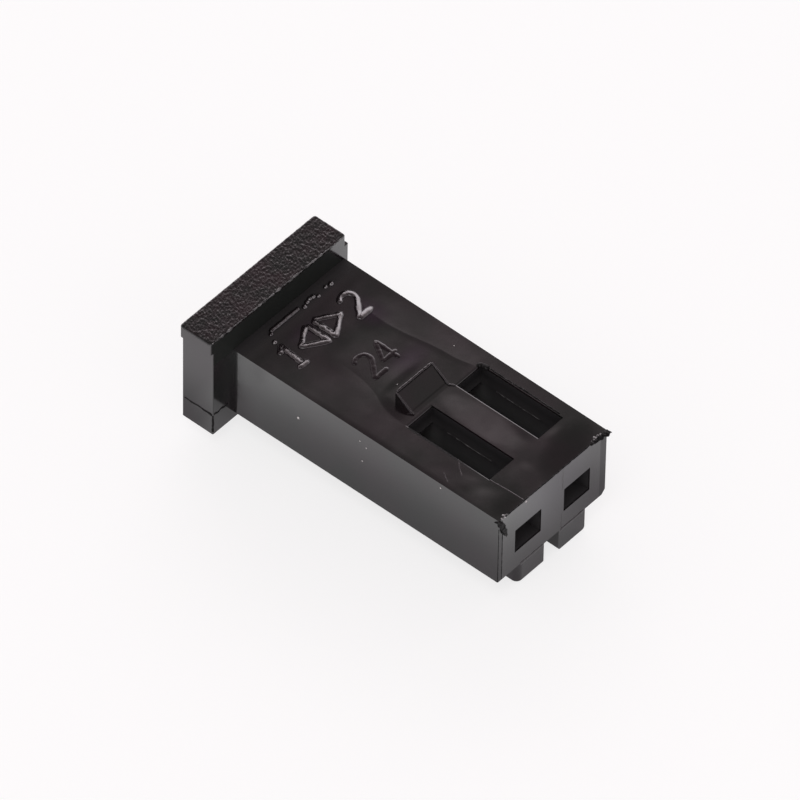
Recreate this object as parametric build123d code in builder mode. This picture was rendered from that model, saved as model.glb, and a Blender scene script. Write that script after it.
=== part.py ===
from build123d import *
import os

# Crimp connector housing, one plastic moulding, in millimetres.
# The origin is the centre of the mating face, on the line through the pin entries.
# X runs across the circuits, Y from the mating face to the wire end, and Z is up.

# Circuits
circuits = 2
pitch = 2.54

# Terminal cavities and the pin entries in front of them
cavity_width = 2.10
cavity_height = 1.74
cavity_lead_in = 0.18
pin_entry_width = 1.35
pin_entry_height = 1.11
mating_wall = 1.00

# Body
overall_length = 13.35
side_wall = 0.49
floor_wall = 0.50
roof_wall = 0.85
side_draft = 0.065
front_corner_radius = 0.04
keel_chamfer = 0.20

# Roof windows, one to each cavity, held off the cavity's right wall by a ledge
window_width = 1.24
window_length = 3.68
window_setback = 1.50
window_ledge = 0.07
window_rim_radius = 0.09

# Locking ramp behind the windows
ramp_width = 1.87
ramp_offset = -0.115
ramp_height = 0.54
ramp_length = 0.75
ramp_setback = 5.45
ramp_toe_radius = 0.30
ramp_edge_radius = 0.05

# Polarising ribs under the body
rib_spacing = 2.14
rib_width = 1.37
rib_height = 1.00
rib_length = 8.40
rib_setback = 0.01
rib_nose_radius = 0.25
rib_edge_radius = 0.12

# Collar at the wire end
collar_thickness = 1.40
collar_drop = 0.36
collar_rise = 1.16
collar_overhang_left = 1.04
collar_overhang_right = 0.19
collar_corner_radius = 0.04

# Textured cap of the collar, shifted by the mismatch of the mould halves
cap_height = 0.55
cap_step_left = 0.12
cap_step_right = 0.16
cap_corner_radius = 0.06
cap_edge_radius = 0.05

# Places worked out from the sizes above
cavity_row_width = (circuits - 1) * pitch + cavity_width
front_half_width = cavity_row_width / 2 + side_wall
rear_half_width = front_half_width + side_draft
body_length = overall_length - collar_thickness
body_bottom = -cavity_height / 2 - floor_wall
body_top = cavity_height / 2 + roof_wall
collar_bottom = body_bottom - collar_drop
collar_top = body_top + collar_rise
collar_left = -rear_half_width - collar_overhang_left
collar_right = rear_half_width + collar_overhang_right
cap_bottom = collar_top - cap_height
cap_left = collar_left - cap_step_left
cap_right = collar_right - cap_step_right
cavity_length = overall_length - mating_wall
window_offset = (cavity_width - window_width) / 2 - window_ledge
window_middle = window_setback + window_length / 2
ramp_left = ramp_offset - ramp_width / 2
ramp_sink = roof_wall / 2
collar_middle = overall_length - collar_thickness / 2
wire_end_plane = Plane.XZ.offset(-overall_length)


with BuildPart() as ramp:
    # Wedge with a hollow toe and a steep locking face, sunk into the roof below its rounded edges
    with BuildSketch(Plane.YZ.offset(ramp_left)):
        with BuildLine():
            FilletPolyline(
                (ramp_setback - ramp_length, body_top),
                (ramp_setback, body_top),
                (ramp_setback + ramp_length, body_top + ramp_height),
                radius=ramp_toe_radius,
            )
            Polyline(
                (ramp_setback + ramp_length, body_top + ramp_height),
                (ramp_setback + ramp_length, body_top - ramp_sink),
                (ramp_setback - ramp_length, body_top - ramp_sink),
                (ramp_setback - ramp_length, body_top),
            )
        make_face()
    extrude(amount=ramp_width)
    sloping_faces = ramp.faces().filter_by(lambda face: face.normal_at().Z > 0)
    crest = sloping_faces.edges().filter_by_position(Axis.Y, ramp_setback, ramp_setback + ramp_length)
    fillet(crest.group_by(Axis.Z)[1:], radius=ramp_edge_radius)


with BuildPart() as housing:
    # Body, which widens towards the collar and has slightly rounded front corners
    with BuildSketch(Plane.XY.offset(body_bottom)):
        with BuildLine():
            Polyline(
                (front_half_width, 0),
                (rear_half_width, body_length),
                (-rear_half_width, body_length),
                (-front_half_width, 0),
                close=True,
            )
        make_face()
    extrude(amount=body_top - body_bottom)
    right_side = housing.faces().sort_by(Axis.X)[-1]
    chamfer(right_side.edges().sort_by(Axis.Z)[0], length=keel_chamfer)
    fillet(housing.edges().filter_by(Axis.Z).group_by(Axis.Y)[0], radius=front_corner_radius)

    # Collar below its cap
    with BuildSketch(Plane.XY.offset(collar_bottom)):
        with Locations(((collar_left + collar_right) / 2, collar_middle)):
            Rectangle(collar_right - collar_left, collar_thickness)
        fillet(vertices(), radius=collar_corner_radius)
    extrude(amount=cap_bottom - collar_bottom)

    # Textured cap
    with BuildSketch(Plane.XY.offset(cap_bottom)):
        with Locations(((cap_left + cap_right) / 2, collar_middle)):
            Rectangle(cap_right - cap_left, collar_thickness)
        fillet(vertices(), radius=cap_corner_radius)
    extrude(amount=cap_height)
    fillet(housing.faces().sort_by(Axis.Z)[-1].edges(), radius=cap_edge_radius)

    # Ribs, with the outer front corner of the left one rounded off and rounded lower edges
    with BuildSketch(Plane.XY.offset(body_bottom)):
        with Locations((0, rib_setback + rib_length / 2)):
            with GridLocations(rib_spacing, rib_length, 2, 1):
                Rectangle(rib_width, rib_length)
        fillet(vertices().group_by(Axis.Y)[0].sort_by(Axis.X)[0], radius=rib_nose_radius)
    extrude(amount=-rib_height)
    soles = housing.faces().group_by(Axis.Z)[0]
    fillet(soles.edges().filter_by(Axis.Y), radius=rib_edge_radius)

    # Locking ramp
    add(ramp.part)

    # Terminal cavities from the wire end, with a lead-in round each mouth
    with BuildSketch(wire_end_plane):
        with GridLocations(pitch, cavity_height, circuits, 1):
            Rectangle(cavity_width, cavity_height)
    extrude(amount=cavity_length, mode=Mode.SUBTRACT)
    mouths = housing.faces().sort_by(Axis.Y)[-1].inner_wires()
    chamfer(mouths.edges(), length=cavity_lead_in)

    # Pin entries through the wall behind the mating face
    with BuildSketch(Plane.XZ):
        with GridLocations(pitch, pin_entry_height, circuits, 1):
            Rectangle(pin_entry_width, pin_entry_height)
    extrude(amount=-mating_wall, mode=Mode.SUBTRACT)

    # Windows through the roof into the cavities, with rounded rims on the left and at the rear
    with BuildSketch(Plane.XY.offset(body_top)):
        with Locations((window_offset, window_middle)):
            with GridLocations(pitch, window_length, circuits, 1):
                Rectangle(window_width, window_length)
    extrude(amount=-roof_wall, mode=Mode.SUBTRACT)
    level_faces = housing.faces().filter_by(Axis.Z)
    roof = level_faces.filter_by_position(Axis.Z, body_top - ramp_sink, body_top + ramp_sink)[0]
    rims = roof.inner_wires().edges()
    rims = rims.filter_by_position(Axis.Y, window_setback, window_setback + window_length)
    side_rims = rims.filter_by(Axis.Y).sort_by(Axis.X)
    rear_rims = rims.filter_by(Axis.X).group_by(Axis.Y)[-1]
    fillet(side_rims[::2] + rear_rims, radius=window_rim_radius)

housing.part.label = "housing"

os.makedirs("parts", exist_ok=True)
export_step(housing.part, "parts/housing.step")
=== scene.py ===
import math

import bmesh
import bpy
from mathutils import Matrix, Vector, noise


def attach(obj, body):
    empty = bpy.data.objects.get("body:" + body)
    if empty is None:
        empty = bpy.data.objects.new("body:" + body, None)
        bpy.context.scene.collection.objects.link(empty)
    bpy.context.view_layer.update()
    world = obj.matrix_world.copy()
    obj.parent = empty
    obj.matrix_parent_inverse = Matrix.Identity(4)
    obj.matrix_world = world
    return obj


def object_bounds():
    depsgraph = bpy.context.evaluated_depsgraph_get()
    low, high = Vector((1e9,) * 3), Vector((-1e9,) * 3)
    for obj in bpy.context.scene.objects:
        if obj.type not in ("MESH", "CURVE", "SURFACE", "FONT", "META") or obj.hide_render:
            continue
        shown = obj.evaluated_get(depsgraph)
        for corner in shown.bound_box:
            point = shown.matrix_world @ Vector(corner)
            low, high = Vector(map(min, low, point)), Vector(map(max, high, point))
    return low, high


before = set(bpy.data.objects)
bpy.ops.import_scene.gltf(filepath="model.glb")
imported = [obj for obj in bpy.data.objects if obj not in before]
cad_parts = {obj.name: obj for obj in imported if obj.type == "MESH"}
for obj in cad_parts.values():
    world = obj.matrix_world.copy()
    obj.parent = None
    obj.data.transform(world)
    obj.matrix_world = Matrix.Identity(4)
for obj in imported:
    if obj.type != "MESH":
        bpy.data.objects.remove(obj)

bl_info = {
    "name": "Crimp Connector Housing Looks",
    "version": (1, 0, 0),
    "blender": (4, 5, 0),
    "location": "3D View > Sidebar > Connector",
    "description": "Finish, mould marks and studio for a two circuit crimp connector housing",
    "category": "Object",
}

MM = 0.001
CAD_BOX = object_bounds()
BODY = "root"

# Places on the housing, in millimetres in the frame of the CAD
ROOF = 1.72
MATING_FACE = 0.0
COLLAR_FRONT = 11.95
WIRE_END = 13.35
LEFT_SIDE = -2.82
COLLAR_LEFT = -3.915
COLLAR_RIGHT = 3.035
CAP_LEFT = -4.035
CAP_RIGHT = 2.895
CAP_TOP = 2.88


# Node helpers


def feed(tree, socket, value):
    """Links a node or socket to an input, or sets a plain value or a colour on it."""
    if isinstance(value, bpy.types.Node):
        value = value.outputs[0]
    if isinstance(value, bpy.types.NodeSocket):
        tree.links.new(value, socket)
    elif socket.type == "RGBA":
        socket.default_value = (*value, 1.0)
    else:
        socket.default_value = value


def put(tree, kind, inputs=None, **props):
    """Adds a node with its own settings, and values or links for its inputs."""
    node = tree.nodes.new(kind)
    for key, value in props.items():
        setattr(node, key, value)
    for key, value in (inputs or {}).items():
        feed(tree, node.inputs[key], value)
    return node


def tree_of(*values):
    """The tree that holds the nodes and sockets among some values."""
    kinds = (bpy.types.Node, bpy.types.NodeSocket)
    return next(value.id_data for value in values if isinstance(value, kinds))


def calc(operation, *values):
    """One step of arithmetic on numbers."""
    node = put(tree_of(*values), "ShaderNodeMath", dict(enumerate(values)), operation=operation)
    return node.outputs[0]


def vector_calc(operation, *values):
    """One step of arithmetic on vectors."""
    values = dict(enumerate(values))
    node = put(tree_of(*values.values()), "ShaderNodeVectorMath", values, operation=operation)
    return node.outputs["Value" if operation in ("DOT_PRODUCT", "LENGTH") else "Vector"]


def scaled(vector, factor):
    """A vector times a number."""
    values = {0: vector, "Scale": factor}
    return put(tree_of(vector, factor), "ShaderNodeVectorMath", values, operation="SCALE").outputs[0]


def split(vector):
    """The x, y and z of a vector."""
    return put(tree_of(vector), "ShaderNodeSeparateXYZ", {"Vector": vector}).outputs


def chained(operation, values):
    """Takes values together, two by two, with the same operation."""
    out = values[0]
    for value in values[1:]:
        out = calc(operation, out, value)
    return out


def total(*values):
    """The sum of all values."""
    return chained("ADD", values)


def product(*values):
    """All values times each other."""
    return chained("MULTIPLY", values)


def highest(*values):
    """The highest of all values."""
    return chained("MAXIMUM", values)


def levels(value, stops):
    """Grey level by position, as (position, level) pairs."""
    node = put(tree_of(value), "ShaderNodeValToRGB", {"Fac": value})
    band = node.color_ramp
    while len(band.elements) < len(stops):
        band.elements.new(1.0)
    for element, (position, level) in zip(band.elements, stops):
        element.position = position
        element.color = (level, level, level, 1.0)
    return node.outputs[0]


def mapped(value, start, end, low=0.0, high=1.0, smooth=False):
    """Goes from low to high while the value goes from start to end, and stays there beyond."""
    values = {"Value": value, "From Min": start, "From Max": end, "To Min": low, "To Max": high}
    kind = "SMOOTHSTEP" if smooth else "LINEAR"
    node = put(tree_of(value), "ShaderNodeMapRange", values, interpolation_type=kind)
    return node.outputs[0]


def within(*edges):
    """Product of soft edges, each as a row of what mapped takes."""
    return product(*[mapped(*edge) for edge in edges])


def curve_of(value, points):
    """A smooth curve through (value, result) points that all lie between 0 and 1."""
    node = put(tree_of(value), "ShaderNodeFloatCurve", {"Value": value})
    line = node.mapping.curves[0]
    while len(line.points) < len(points):
        line.points.new(0.5, 0.5)
    for point, place in zip(line.points, points):
        point.location = place
    node.mapping.update()
    return node.outputs[0]


def noise_of(where, scale, detail, roughness):
    """Noise, as a level around a half."""
    values = {"Vector": where, "Scale": scale, "Detail": detail, "Roughness": roughness}
    return put(tree_of(where), "ShaderNodeTexNoise", values).outputs[0]


def seeded_noise(where, seed, scale, detail):
    """Noise that changes with a seed, as a level and a colour."""
    values = {"Vector": where, "W": seed, "Scale": scale, "Detail": detail}
    return put(tree_of(where), "ShaderNodeTexNoise", values, noise_dimensions="4D").outputs


def bump_of(height, distance, normal=None):
    """A normal that is tilted by a height."""
    values = {"Height": height, "Distance": distance, "Strength": 1.0}
    if normal is not None:
        values["Normal"] = normal
    return put(tree_of(height), "ShaderNodeBump", values).outputs[0]


def blended(share, first, second):
    """The first colour, or the second one where the share is 1."""
    values = {0: share, 6: first, 7: second}
    return put(tree_of(share), "ShaderNodeMix", values, data_type="RGBA").outputs[2]


def plastic(colour, roughness, index, normal=None):
    """A shader for plastic, with its refractive index."""
    values = {"Base Color": colour, "Roughness": roughness, "IOR": index}
    if normal is not None:
        values["Normal"] = normal
    return put(tree_of(colour, roughness), "ShaderNodeBsdfPrincipled", values)


def new_material(name):
    """An empty material, and the place on the piece in millimetres."""
    material = bpy.data.materials.new(name)
    material.use_nodes = True
    tree = material.node_tree
    tree.nodes.clear()
    metres = put(tree, "ShaderNodeTexCoord").outputs["Object"]
    return material, scaled(metres, 1.0 / MM)


def surface(material, shader):
    """Ends a material with its shader."""
    put(material.node_tree, "ShaderNodeOutputMaterial", {"Surface": shader})
    return material


# Finishes

# Shallow sinks and swells of the roof: centre x and y, half sizes, turn in degrees,
# tilt of the surface in hundredths of a radian, and how far in from its rim it fades
ROOF_SINKS = (
    (0.30, 3.45, 0.68, 2.15, 0, 5.0, 0.35),
    (0.85, 2.15, 0.45, 1.00, 0, -4.5, 1.0),
    (1.20, 0.45, 1.85, 0.95, 14, -13.0, 0.8),
    (-2.10, 0.30, 1.00, 0.65, 0, -8.5, 1.0),
    (-2.12, 1.28, 0.72, 0.40, -55, 6.0, 1.0),
    (-1.95, 2.05, 0.22, 0.60, 15, 3.0, 1.0),
    (-2.45, 1.95, 0.30, 0.55, 10, -3.5, 1.0),
    (-0.60, 0.60, 2.60, 1.30, 0, -2.0, 0.8),
    (-0.75, 1.10, 0.85, 0.50, 0, 3.5, 1.0),
    (-0.25, 1.00, 0.30, 0.42, 0, 4.0, 1.0),
    (1.55, 1.34, 0.55, 0.24, -8, 5.5, 1.0),
    (-2.86, 5.00, 0.33, 7.00, 0, -8.0, 1.0),
    (-0.10, 6.80, 1.25, 0.24, 0, -6.0, 0.7),
    (-1.28, 6.15, 0.36, 0.85, -18, -8.0, 0.8),
    (0.30, 7.15, 1.30, 0.50, 0, 4.5, 1.0),
    (1.15, 9.35, 0.65, 1.10, 0, -6.0, 1.0),
    (-1.30, 8.95, 0.75, 0.95, 0, -4.0, 1.0),
    (-0.20, 9.45, 1.90, 0.50, 0, -2.5, 1.0),
    (2.30, 5.60, 0.65, 5.50, 0, 2.0, 1.0),
    (-2.10, 4.60, 0.80, 3.20, 0, 1.0, 1.0),
    (-1.90, 2.50, 0.40, 1.20, 25, -2.5, 1.0),
    (1.40, 11.00, 0.70, 0.60, 0, 2.5, 1.0),
    (-0.80, 11.20, 1.90, 0.60, 0, -4.5, 1.0),
    (2.20, 9.20, 0.60, 0.90, 0, 2.5, 1.0),
)

# Purple patches of the roof: centre x and y, half sizes, turn, strength in hundredths and fade
ROOF_TINTS = (
    (0.80, 7.20, 1.30, 0.70, 0, 100, 1.0),
    (1.60, 9.60, 0.80, 1.10, 0, 100, 1.0),
    (-0.60, 10.70, 1.20, 0.50, 0, 70, 1.0),
)


def line_shares(points):
    """Points of y and x in millimetres as shares of the roof that the lines span."""
    return [(y / LINE_LENGTH, (x + LINE_REACH) / (2 * LINE_REACH)) for y, x in points]


# The thick part of the roof runs from the windows towards the collar. Its long edges are given as
# points of y and x, and the tilt across each as points from 0 to 1
LINE_LENGTH = 12.0
LINE_REACH = 3.0
RIGHT_LINE = (
    (0.0, 2.20), (5.3, 2.05), (6.0, 1.90), (6.8, 1.84), (7.4, 1.74), (8.2, 1.60), (9.0, 1.54),
    (9.9, 1.60), (12.0, 2.2),
)
RIGHT_PROFILE = (
    (0.0, 0.5), (0.25, 0.42), (0.42, 0.10), (0.49, 0.05), (0.52, 0.85), (0.58, 0.78), (0.72, 0.62),
    (1.0, 0.5),
)
LEFT_LINE = (
    (0.0, -1.60), (5.4, -1.62), (6.1, -1.55), (6.6, -1.38), (7.0, -1.20), (7.6, -1.03), (8.3, -0.95),
    (9.2, -0.9), (12.0, -0.9),
)
LEFT_PROFILE = (
    (0.0, 0.5), (0.35, 0.54), (0.46, 0.62), (0.50, 0.64), (0.54, 0.22), (0.62, 0.30), (0.80, 0.45),
    (1.0, 0.5),
)

# Each edge with the y where it starts to fade out and where it ends
THICK_EDGES = ((RIGHT_LINE, RIGHT_PROFILE, 9.6, 10.9), (LEFT_LINE, LEFT_PROFILE, 8.0, 9.2))

# Way in which the roof's sinks tilt its surface, towards the light behind the collar
SINK_WAY = (0.76, 0.65, 0.0)

# Ripples of the moulded faces: cells to the millimetre, detail, roughness and height in millimetres
RIPPLES = ((0.35, 1.0, 0.4, 0.025), (1.6, 3.0, 0.55, 0.003), (9.0, 3.0, 0.6, 0.0004))


def soft_patch(where, row):
    """1 inside a turned ellipse and 0 outside it, given in millimetres on the roof."""
    x, y, half_x, half_y, turn, amount, fade = row
    values = {
        "Vector": where,
        "Location": (x, y, 0.0),
        "Rotation": (0.0, 0.0, math.radians(turn)),
        "Scale": (half_x, half_y, 1000.0),
    }
    place = put(tree_of(where), "ShaderNodeMapping", values, vector_type="TEXTURE")
    reach = vector_calc("LENGTH", place)
    return mapped(reach, 1.0, 1.0 - fade, 0.0, amount * 0.01, smooth=True)


def roof_slope(where):
    """How far the roof tilts over its sinks, its thick part and its ripples."""
    x, y, _ = split(where)
    slopes = [soft_patch(where, row) for row in ROOF_SINKS]
    along = calc("DIVIDE", y, LINE_LENGTH)
    across = calc("DIVIDE", calc("ADD", x, LINE_REACH), 2 * LINE_REACH)
    for line, profile, fade, end in THICK_EDGES:
        past = calc("SUBTRACT", across, curve_of(along, line_shares(line)))
        slope = curve_of(mapped(past, -0.1, 0.1), profile)
        slope = mapped(slope, 0.0, 1.0, -0.05, 0.05)
        slopes.append(product(slope, within((y, 5.2, 5.6), (y, end, fade))))
    slopes.append(mapped(noise_of(where, 0.55, 2.0, 0.5), 0.3, 0.7, -0.014, 0.014))
    slopes.append(mapped(noise_of(where, 2.4, 3.0, 0.6), 0.3, 0.7, -0.006, 0.006))
    slopes.append(mapped(y, 8.6, COLLAR_FRONT - 0.05, 0.0, -0.075))
    return total(*slopes)


def moulded_normal(where, settings, on_roof):
    """Direction of the surface, with sinks, the flare at the collar and fine ripples."""
    facing = put(tree_of(where), "ShaderNodeNewGeometry").outputs["Normal"]
    face_y = split(facing)[1]
    y = split(where)[1]
    slope = product(roof_slope(where), on_roof, settings.sinks)
    near = calc("POWER", within((y, 10.75, 11.80), (y, 11.86, 11.74)), 1.4)
    sideways = mapped(calc("ABSOLUTE", face_y), 0.2, 0.1)
    flare = scaled((0.0, -1.0, 0.0), product(near, settings.flare, sideways))
    tilt = vector_calc("ADD", scaled(SINK_WAY, slope), flare)
    normal = vector_calc("NORMALIZE", vector_calc("ADD", facing, tilt))
    for scale, detail, roughness, height in RIPPLES:
        ripple = noise_of(where, scale, detail, roughness)
        normal = bump_of(ripple, settings.waviness * height * MM, normal)
    return normal


def moulded_plastic(name, settings):
    """Black plastic with the tilts, ripples, haze and dull places of moulded faces."""
    material, where = new_material(name)
    x, y, z = split(where)
    from_middle = calc("ABSOLUTE", x)
    facing = put(material.node_tree, "ShaderNodeNewGeometry").outputs["Normal"]
    _, face_y, face_z = split(facing)
    forward, at_front = (face_y, -0.9, -0.99), (y, 0.05, 0.02)
    upward, above, below = (face_z, 0.95, 0.99), ROOF + 0.01, ROOF - 0.01
    on_roof = within(upward, (z, below - 0.01, below), (z, above + 0.01, above))
    normal = moulded_normal(where, settings, on_roof)
    haze = noise_of(where, 0.9, 4.0, 0.6)
    roughness = mapped(haze, 0.3, 0.7, settings.gloss_low, settings.gloss_high)

    # The shell's tint wanders, and the middle and top of the mating face get a paler colour, a painted
    # sheen
    tint = mapped(noise_of(where, 0.45, 2.0, 0.5), 0.35, 0.65)
    outer = blended(tint, settings.cool_colour, settings.colour)
    purple = total(*[soft_patch(where, row) for row in ROOF_TINTS])
    purple = product(calc("MINIMUM", purple, 1.0), on_roof)
    outer = blended(purple, outer, settings.purple)
    middle, high = (from_middle, 2.4, 0.6, 0.0, 1.0, True), (z, -1.4, 1.3, 0.0, 1.0, True)
    outer = blended(within(forward, at_front, middle, high), outer, settings.front_painted_sheen)
    glossy = plastic(outer, roughness, settings.gloss_index, normal)

    # Dull places, which take a matte shader: the cavities, the corner between the roof and the collar,
    # strips beside the corners of the mating face, and the left rim of the left window. Their colours are
    # painted light in the cavities and painted shade in the corner and on the strips
    cavity_sides, cavity_ends = (from_middle, 2.42, 2.36), ((y, 0.02, 0.08), (y, 13.33, 13.27))
    inside = within(cavity_sides, (z, 1.66, 1.62), (z, -0.98, -0.92), *cavity_ends)
    # The foot of the collar above the roof and the end of the roof at the collar are made matte with set
    # dark colours: painted shade in the corner between them
    leaning = (calc("MULTIPLY_ADD", z, 0.7, x), 4.02, 3.92)
    collar_foot_painted_shade = within(forward, (y, 11.90, 11.94), (z, 1.66, 1.71), leaning)
    roof_end_painted_shade = product(on_roof, mapped(y, 11.30, 11.60))
    foot = product(highest(collar_foot_painted_shade, roof_end_painted_shade), 0.9)
    # Strips beside the corners of the mating face take part of the matte shader, which darkens them:
    # painted shade
    corners = highest(mapped(x, 2.44, 2.50), mapped(x, -2.60, -2.64))
    strips = product(within(forward, at_front), corners, 0.35)
    rim_sides = ((x, -1.68, -1.63), (x, -1.40, -1.50))
    rim_ends = ((y, 1.9, 3.0, 0.35, 1.0), (y, 5.18, 5.08), (y, 1.42, 1.48))
    rim = within(*rim_sides, *rim_ends, (z, 1.55, 1.60))
    dull = highest(inside, strips, rim, foot)

    # The cavity walls get paler colours deep inside and palest behind the windows, and darker ones near
    # the roof and the mating face: painted light that lifts the shade inside them
    behind = within((y, 4.7, 5.4), (y, 9.5, 7.5))
    inner = blended(behind, settings.deep_painted_light, settings.deepest_painted_light)
    near = highest(mapped(z, 0.2, 1.3), mapped(y, 1.6, 0.9, 0.0, 0.8))
    inner = blended(near, inner, settings.inner_colour)
    # Set colours for the corner between the roof and the collar: painted shade
    inner = blended(roof_end_painted_shade, inner, settings.roof_end_painted_shade)
    inner = blended(collar_foot_painted_shade, inner, settings.collar_foot_painted_shade)
    shaders = {0: dull, 1: glossy, 2: plastic(inner, 0.7, 1.2)}
    return surface(material, put(material.node_tree, "ShaderNodeMixShader", shaders))


def textured_plastic(name, settings):
    """Black plastic of the cap, as a spark eroded mould leaves it."""
    material, where = new_material(name)
    pits = noise_of(where, 20.0, 2.0, 0.6)
    normal = bump_of(pits, 0.004 * MM * settings.grit)
    patches = noise_of(where, 1.1, 3.0, 0.6)
    roughness = mapped(patches, 0.3, 0.7, 0.16, 0.24)
    tint = mapped(patches, 0.40, 0.62)
    colour = blended(tint, settings.cool_colour, settings.colour)
    return surface(material, plastic(colour, roughness, 1.42, normal))


def mark_plastic(name, settings, lean=0.0, index=1.6):
    """Glossy, slightly uneven plastic of raised marks, which can lean towards the light."""
    material, where = new_material(name)
    facing = put(material.node_tree, "ShaderNodeNewGeometry").outputs["Normal"]
    leaning = vector_calc("ADD", facing, [part * lean for part in SINK_WAY])
    lumps = noise_of(where, 7.0, 3.0, 0.6)
    normal = bump_of(lumps, 0.008 * MM, vector_calc("NORMALIZE", leaning))
    roughness = mapped(lumps, 0.35, 0.65, 0.14, 0.26)
    return surface(material, plastic(settings.colour, roughness, index, normal))


def rough_plastic(name, grain, stops, roughness, index, relief=0.0):
    """Torn or rubbed plastic, in patches of dull grey."""
    material, where = new_material(name)
    lumps = noise_of(where, grain, 3.0, 0.6)
    normal = bump_of(lumps, relief * MM) if relief else None
    return surface(material, plastic(levels(lumps, stops), roughness, index, normal))


def dust_material(name, settings):
    """Pale speckled dust."""
    material, where = new_material(name)
    speckle = noise_of(where, 12.0, 2.0, 0.5)
    colour = blended(speckle, settings.dust_dark, settings.dust_light)
    return surface(material, plastic(colour, 0.8, 1.5))


# Geometry trees


def geometry_tree(name, sockets):
    """A new tree with its named inputs, and what its inputs carry."""
    tree = bpy.data.node_groups.new(name, "GeometryNodeTree")
    tree.interface.new_socket("Geometry", in_out="INPUT", socket_type="NodeSocketGeometry")
    for label, kind, default in (*sockets, ("Seed", "Float", 1.0), ("Material", "Material", None)):
        item = tree.interface.new_socket(label, in_out="INPUT", socket_type="NodeSocket" + kind)
        if default is not None:
            item.default_value = default
    tree.interface.new_socket("Geometry", in_out="OUTPUT", socket_type="NodeSocketGeometry")
    return tree, put(tree, "NodeGroupInput").outputs


def close_tree(tree, geometry, group):
    """Ends a tree: smooth shading, real geometry and its material."""
    geometry = put(tree, "GeometryNodeSetShadeSmooth", {"Geometry": geometry})
    geometry = put(tree, "GeometryNodeRealizeInstances", {"Geometry": geometry})
    values = {"Geometry": geometry, "Material": group["Material"]}
    put(tree, "NodeGroupOutput", {"Geometry": put(tree, "GeometryNodeSetMaterial", values)})
    return tree


def position(tree):
    """Where each point of a shape is."""
    return put(tree, "GeometryNodeInputPosition").outputs[0]


def moved(geometry, offset):
    """Moves the points of a shape by an offset."""
    values = {"Geometry": geometry, "Offset": offset}
    return put(tree_of(geometry), "GeometryNodeSetPosition", values)


def drifted(geometry, lumps, amount):
    """Moves the points of a shape with a noise, by up to an amount each way."""
    shift = vector_calc("SUBTRACT", lumps["Color"], (0.5, 0.5, 0.5))
    return moved(geometry, scaled(shift, product(amount, 2.0)))


def flattened(geometry, group, depth):
    """Presses a shape against the face that carries it, down to a share of its depth."""
    place = position(tree_of(geometry))
    height = vector_calc("DOT_PRODUCT", place, group["Face normal"])
    height = calc("SUBTRACT", height, group["Face distance"])
    press = product(height, calc("SUBTRACT", depth, 1.0))
    return moved(geometry, scaled(group["Face normal"], press))


FACE_SOCKETS = (("Face normal", "Vector", (0.0, 0.0, 1.0)), ("Face distance", "Float", 0.0))


def raised_line_tree():
    """A rounded ridge along the edges of a mesh, with domed ends and a ragged width."""
    sockets = (
        ("Width", "Float", 0.15 * MM),
        ("Height", "Float", 0.05 * MM),
        ("Wobble", "Float", 0.0),
        ("Raggedness", "Float", 0.2),
        ("Grain", "Float", 6.0 / MM),
        *FACE_SOCKETS,
    )
    tree, group = geometry_tree("Raised line", sockets)
    half = product(group["Width"], 0.5)
    curve = put(tree, "GeometryNodeMeshToCurve", {"Mesh": group["Geometry"]})
    values = {"Curve": curve, "Length": product(half, 0.45)}
    curve = put(tree, "GeometryNodeResampleCurve", values, mode="LENGTH")
    place = position(tree)
    drift = seeded_noise(place, group["Seed"], group["Grain"], 2.0)
    curve = drifted(curve, drift, group["Wobble"])

    # The ends are domed
    so_far = put(tree, "GeometryNodeSplineParameter").outputs["Length"]
    whole = put(tree, "GeometryNodeSplineLength").outputs["Length"]
    to_end = calc("MINIMUM", so_far, calc("SUBTRACT", whole, so_far))
    share = calc("MINIMUM", calc("DIVIDE", to_end, half), 1.0)
    inward = calc("SUBTRACT", 1.0, share)
    dome = calc("SQRT", calc("SUBTRACT", 1.02, product(inward, inward)))

    # The width is ragged
    seed = calc("ADD", group["Seed"], 7.0)
    lumps = seeded_noise(place, seed, group["Grain"], 3.0)[0]
    swell = product(calc("SUBTRACT", lumps, 0.5), group["Raggedness"])
    swell = calc("MAXIMUM", calc("MULTIPLY_ADD", swell, 4.0, 1.0), 0.05)
    ring = put(tree, "GeometryNodeCurvePrimitiveCircle", {"Resolution": 12, "Radius": 1.0})
    values = {"Curve": curve, "Profile Curve": ring, "Scale": product(half, dome, swell)}
    ridge = put(tree, "GeometryNodeCurveToMesh", {**values, "Fill Caps": True})
    ridge = flattened(ridge, group, calc("DIVIDE", group["Height"], half))
    return close_tree(tree, ridge, group)


def pip_tree():
    """A low lumpy pip on each vertex of a mesh."""
    sockets = (
        ("Radius", "Float", 0.05 * MM),
        ("Smallest", "Float", 0.6),
        ("Flatness", "Float", 0.5),
        ("Lumpiness", "Float", 0.01 * MM),
        *FACE_SOCKETS,
    )
    tree, group = geometry_tree("Pips", sockets)
    ball = put(tree, "GeometryNodeMeshIcoSphere", {"Radius": group["Radius"], "Subdivisions": 3})
    size = put(tree, "FunctionNodeRandomValue", {2: group["Smallest"], 3: 1.0, "Seed": 3})
    turns = {0: (0.0, 0.0, 0.0), 1: (6.28, 6.28, 6.28), "Seed": 5}
    turn = put(tree, "FunctionNodeRandomValue", turns, data_type="FLOAT_VECTOR")
    values = {"Points": group["Geometry"], "Instance": ball, "Rotation": turn, "Scale": size.outputs[1]}
    dots = put(tree, "GeometryNodeInstanceOnPoints", values)
    dots = put(tree, "GeometryNodeRealizeInstances", {"Geometry": dots})
    lumps = seeded_noise(position(tree), group["Seed"], 14.0 / MM, 1.0)
    dots = drifted(dots, lumps, group["Lumpiness"])
    return close_tree(tree, flattened(dots, group, group["Flatness"]), group)


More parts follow.
